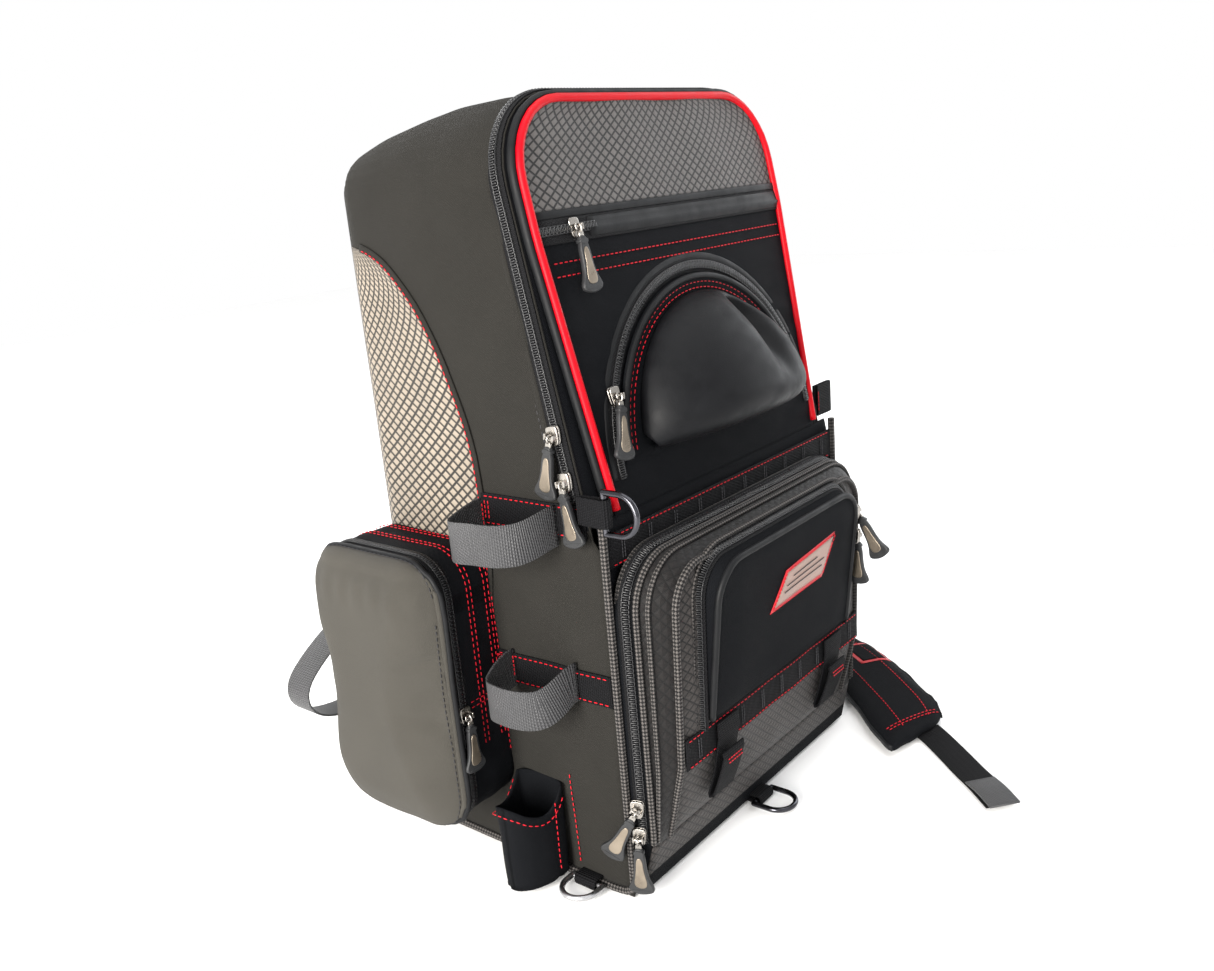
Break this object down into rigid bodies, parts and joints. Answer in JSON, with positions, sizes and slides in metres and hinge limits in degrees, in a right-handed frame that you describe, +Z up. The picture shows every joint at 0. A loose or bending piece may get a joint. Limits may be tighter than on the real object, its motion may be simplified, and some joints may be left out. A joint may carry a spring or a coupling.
{
  "type": "tackle backpack",
  "caption": "Upright fishing backpack with a zipped lean-back flap, moulded glasses case, bellowed front pocket, side pockets and rod holders.",
  "frame": {"origin": "middle of the shell's flat base, on the surface that the bag stands on", "axes": "+Z up, -Y towards the pockets (away from the wearer), +X to the right when facing the pockets"},
  "size_m": [0.523, 0.4403, 0.5158],
  "materials": {
    "bag_cloth": "plain woven, slightly shiny",
    "ripstop": "diamond ripstop weave",
    "lining_panel": "matt woven",
    "stiffener": "satin sheet",
    "webbing": "ribbed webbing",
    "red_piping": "smooth cord piping",
    "zip_coil": "satin coil",
    "moulded_cloth": "cloth-faced moulded foam",
    "padding": "knitted spacer mesh",
    "nickel": "satin nickel",
    "gunmetal": "satin gunmetal",
    "tab_rubber": "matt, with a satin metal inlay"
  },
  "bodies": {
    "shell": {"bottom_panel": "bag_cloth", "back_panel": "lining_panel", "frame_sheet": "stiffener", "left_side_panel": "bag_cloth", "right_side_panel": "bag_cloth", "top_gusset": "bag_cloth", "waist_panel": "bag_cloth", "main_zip": "zip_coil", "waist_band": "webbing", "lower_band": "webbing", "webbing_tabs": "webbing", "rod_loops_left": "webbing", "rod_loops_right": "webbing", "rod_cup_left": "bag_cloth", "rod_cup_right": "bag_cloth", "side_pocket_left": "bag_cloth", "side_pocket_right": "bag_cloth", "front_pocket_rim": "ripstop", "back_pads": "padding"},
    "flap": {"main_flap": "bag_cloth", "flap_piping": "red_piping"},
    "case_lid": {"glasses_lid": "moulded_cloth"},
    "front_cover": {"front_pocket_cover": "ripstop", "pocket_webbing": "webbing"},
    "second_cover": {"second_pocket_cover": "bag_cloth"},
    "side_flap_left": {"side_cover_left": "bag_cloth"},
    "side_flap_right": {"side_cover_right": "bag_cloth"},
    "waist_d_ring": {"waist_ring": "gunmetal"},
    "front_d_ring": {"base_ring_front": "gunmetal"},
    "left_d_ring": {"base_ring_left": "gunmetal"},
    "handle": {"haul_handle": "webbing"},
    "strap_left": {"shoulder_strap_left": "padding"},
    "strap_right": {"shoulder_strap_right": "padding"},
    "adjuster_left": {"strap_webbing_left": "webbing"},
    "adjuster_right": {"strap_webbing_right": "webbing"},
    "hip_left": {"hip_wing_left": "padding", "hip_webbing_left": "webbing"},
    "hip_right": {"hip_wing_right": "padding", "hip_webbing_right": "webbing"},
    "upper_slider": {"upper_slider": "nickel"},
    "upper_pull": {"upper_pull": "tab_rubber"},
    "case_slider": {"case_slider": "nickel"},
    "case_pull": {"case_pull": "tab_rubber"},
    "main_b_slider": {"main_b_slider": "nickel"},
    "main_b_pull": {"main_b_pull": "tab_rubber"},
    "main_a_slider": {"main_a_slider": "nickel"},
    "main_a_pull": {"main_a_pull": "tab_rubber"},
    "side_left_slider": {"side_left_slider": "nickel"},
    "side_left_pull": {"side_left_pull": "tab_rubber"},
    "side_right_slider": {"side_right_slider": "nickel"},
    "side_right_pull": {"side_right_pull": "tab_rubber"},
    "front_b_slider": {"front_b_slider": "nickel"},
    "front_b_pull": {"front_b_pull": "tab_rubber"},
    "front_a_slider": {"front_a_slider": "nickel"},
    "front_a_pull": {"front_a_pull": "tab_rubber"},
    "second_a_slider": {"second_a_slider": "nickel"},
    "second_a_pull": {"second_a_pull": "tab_rubber"},
    "second_b_slider": {"second_b_slider": "nickel"},
    "second_b_pull": {"second_b_pull": "tab_rubber"}
  },
  "joints": [
    {"name": "flap_open", "type": "hinge", "parent": "shell", "child": "flap", "pos_m": [0, -0.10983, 0.25949], "axis": [1, 0, 0], "range_deg": [0, 60]},
    {"name": "case_lid_open", "type": "hinge", "parent": "flap", "child": "case_lid", "pos_m": [0, -0.10963, 0.28012], "axis": [1, 0, 0], "range_deg": [0, 40]},
    {"name": "front_cover_open", "type": "hinge", "parent": "shell", "child": "front_cover", "pos_m": [0, -0.1274, 0.0405], "axis": [1, 0, 0], "range_deg": [0, 55]},
    {"name": "second_cover_open", "type": "hinge", "parent": "front_cover", "child": "second_cover", "pos_m": [0, -0.149, 0.118], "axis": [1, 0, 0], "range_deg": [0, 35]},
    {"name": "side_cover_left_open", "type": "hinge", "parent": "shell", "child": "side_flap_left", "pos_m": [-0.207, 0, 0.043], "axis": [0, -1, 0], "range_deg": [0, 45]},
    {"name": "side_cover_right_open", "type": "hinge", "parent": "shell", "child": "side_flap_right", "pos_m": [0.207, 0, 0.043], "axis": [0, 1, 0], "range_deg": [0, 45]},
    {"name": "waist_ring_swing", "type": "hinge", "parent": "shell", "child": "waist_d_ring", "pos_m": [-0.1466, -0.119, 0.271], "axis": [0, 0, 1], "range_deg": [-15, 25]},
    {"name": "front_ring_lift", "type": "hinge", "parent": "shell", "child": "front_d_ring", "pos_m": [0, -0.125, 0.0046], "axis": [-1, 0, 0], "range_deg": [0, 80]},
    {"name": "left_ring_lift", "type": "hinge", "parent": "shell", "child": "left_d_ring", "pos_m": [-0.15, -0.078, 0.0046], "axis": [0, 1, 0], "range_deg": [0, 80]},
    {"name": "handle_lift", "type": "hinge", "parent": "shell", "child": "handle", "pos_m": [0, 0.1, 0.466], "axis": [1, 0, 0], "range_deg": [0, 150]},
    {"name": "strap_left_swing", "type": "hinge", "parent": "shell", "child": "strap_left", "pos_m": [-0.074, 0.0926, 0.4523], "axis": [1, 0, 0], "range_deg": [0, 10]},
    {"name": "adjuster_left_swing", "type": "hinge", "parent": "shell", "child": "adjuster_left", "pos_m": [-0.128, 0.1054, 0.099], "axis": [1, 0, 0], "range_deg": [-25, 0]},
    {"name": "strap_right_swing", "type": "hinge", "parent": "shell", "child": "strap_right", "pos_m": [0.074, 0.0926, 0.4523], "axis": [1, 0, 0], "range_deg": [0, 10]},
    {"name": "adjuster_right_swing", "type": "hinge", "parent": "shell", "child": "adjuster_right", "pos_m": [0.128, 0.1054, 0.099], "axis": [1, 0, 0], "range_deg": [-25, 0]},
    {"name": "hip_left_swing", "type": "hinge", "parent": "shell", "child": "hip_left", "pos_m": [-0.14, 0.1048, 0.048], "axis": [0, 0, 1], "range_deg": [0, 110]},
    {"name": "hip_right_swing", "type": "hinge", "parent": "shell", "child": "hip_right", "pos_m": [0.142, 0.105, 0.048], "axis": [0, 0, 1], "range_deg": [0, 60]},
    {"name": "upper_slider_run", "type": "slide", "parent": "flap", "child": "upper_slider", "axis": [1, 0, 0], "range_m": [0, 0.2]},
    {"name": "upper_pull_swing", "type": "hinge", "parent": "upper_slider", "child": "upper_pull", "pos_m": [-0.104, -0.08256, 0.43398], "axis": [-1, 0, 0], "range_deg": [0, 80]},
    {"name": "case_slider_run", "type": "hinge", "parent": "flap", "child": "case_slider", "pos_m": [0.003, -0.10659, 0.28585], "axis": [0, 0.982, -0.189], "range_deg": [0, 120]},
    {"name": "case_pull_swing", "type": "hinge", "parent": "case_slider", "child": "case_pull", "pos_m": [-0.105, -0.10418, 0.33223], "axis": [-0.9744, 0.0425, 0.2209], "range_deg": [0, 80]},
    {"name": "main_b_slider_run", "type": "slide", "parent": "shell", "child": "main_b_slider", "axis": [0, 0.189, 0.982], "range_m": [0, 0.05]},
    {"name": "main_b_pull_swing", "type": "hinge", "parent": "main_b_slider", "child": "main_b_pull", "pos_m": [-0.1517, -0.09081, 0.28688], "axis": [0, 0.982, -0.189], "range_deg": [0, 80]},
    {"name": "main_a_slider_run", "type": "slide", "parent": "main_b_slider", "child": "main_a_slider", "axis": [0, 0.189, 0.982], "range_m": [0, 0.09]},
    {"name": "main_a_pull_swing", "type": "hinge", "parent": "main_a_slider", "child": "main_a_pull", "pos_m": [-0.1517, -0.08533, 0.31536], "axis": [0, 0.9813, 0.1926], "range_deg": [0, 80]},
    {"name": "side_left_slider_run", "type": "slide", "parent": "shell", "child": "side_left_slider", "axis": [0, 0, 1], "range_m": [0, 0.08]},
    {"name": "side_left_pull_swing", "type": "hinge", "parent": "side_left_slider", "child": "side_left_pull", "pos_m": [-0.184, -0.0187, 0.128], "axis": [-1, 0, 0], "range_deg": [0, 80]},
    {"name": "side_right_slider_run", "type": "slide", "parent": "shell", "child": "side_right_slider", "axis": [0, 0, 1], "range_m": [0, 0.08]},
    {"name": "side_right_pull_swing", "type": "hinge", "parent": "side_right_slider", "child": "side_right_pull", "pos_m": [0.184, -0.0187, 0.128], "axis": [-1, 0, 0], "range_deg": [0, 80]},
    {"name": "front_b_slider_run", "type": "slide", "parent": "shell", "child": "front_b_slider", "axis": [0, 0, 1], "range_m": [0, 0.05]},
    {"name": "front_b_pull_swing", "type": "hinge", "parent": "front_b_slider", "child": "front_b_pull", "pos_m": [-0.14667, -0.12259, 0.05], "axis": [-0.3584, 0.9336, 0], "range_deg": [0, 80]},
    {"name": "front_a_slider_run", "type": "slide", "parent": "front_b_slider", "child": "front_a_slider", "axis": [0, 0, 1], "range_m": [0, 0.09]},
    {"name": "front_a_pull_swing", "type": "hinge", "parent": "front_a_slider", "child": "front_a_pull", "pos_m": [-0.14667, -0.12259, 0.07], "axis": [-0.3104, 0.8085, 0.5], "range_deg": [0, 80]},
    {"name": "second_a_slider_run", "type": "slide", "parent": "front_cover", "child": "second_a_slider", "axis": [0, 0, 1], "range_m": [0, 0.012]},
    {"name": "second_a_pull_swing", "type": "hinge", "parent": "second_a_slider", "child": "second_a_pull", "pos_m": [0.1033, -0.155, 0.203], "axis": [0, -0.866, 0.5], "range_deg": [0, 80]},
    {"name": "second_b_slider_run", "type": "slide", "parent": "front_cover", "child": "second_b_slider", "axis": [0, 0, 1], "range_m": [-0.045, 0]},
    {"name": "second_b_pull_swing", "type": "hinge", "parent": "second_b_slider", "child": "second_b_pull", "pos_m": [0.1033, -0.155, 0.184], "axis": [0, -1, 0], "range_deg": [0, 80]}
  ],
  "couplings": [
    {"joint": "adjuster_left_swing", "follows": "strap_left_swing", "ratio": -2.5},
    {"joint": "adjuster_right_swing", "follows": "strap_right_swing", "ratio": -2.5}
  ]
}
